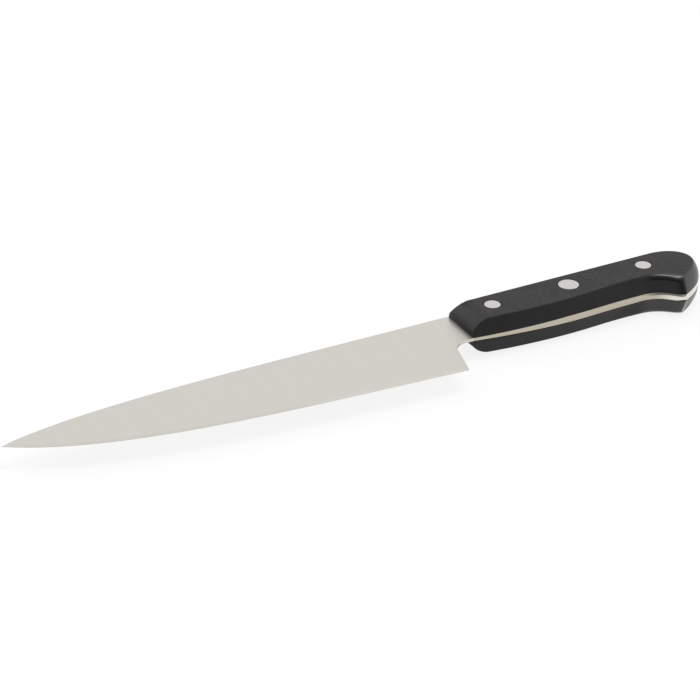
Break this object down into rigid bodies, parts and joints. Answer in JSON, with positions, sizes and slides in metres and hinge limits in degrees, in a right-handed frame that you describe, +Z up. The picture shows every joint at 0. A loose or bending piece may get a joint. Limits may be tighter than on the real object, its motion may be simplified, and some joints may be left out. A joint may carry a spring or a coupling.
{
  "type": "kitchen knife",
  "caption": "Cook's knife with a ground steel blade, a full tang between black moulded scales that end in a hook, and flush two-piece rivets.",
  "frame": {"origin": "under the middle of the knife's box, on the plane of its lowest point as it lies on its right side", "axes": "+X along the handle from the tip to the butt, +Y from the cutting edge to the spine, +Z up through the left side"},
  "size_m": [0.3292, 0.043, 0.0188],
  "materials": {
    "blade_steel": "satin, finely ground across the blade",
    "scale_polymer": "black moulded polymer with a fine matt texture",
    "rivet_steel": "satin"
  },
  "bodies": {
    "root": {"blade_and_tang": "blade_steel", "left_handle_scale": "scale_polymer", "right_handle_scale": "scale_polymer", "front_rivet_pin": "rivet_steel", "front_rivet_sleeve": "rivet_steel", "middle_rivet_pin": "rivet_steel", "middle_rivet_sleeve": "rivet_steel", "rear_rivet_pin": "rivet_steel", "rear_rivet_sleeve": "rivet_steel"}
  },
  "joints": []
}
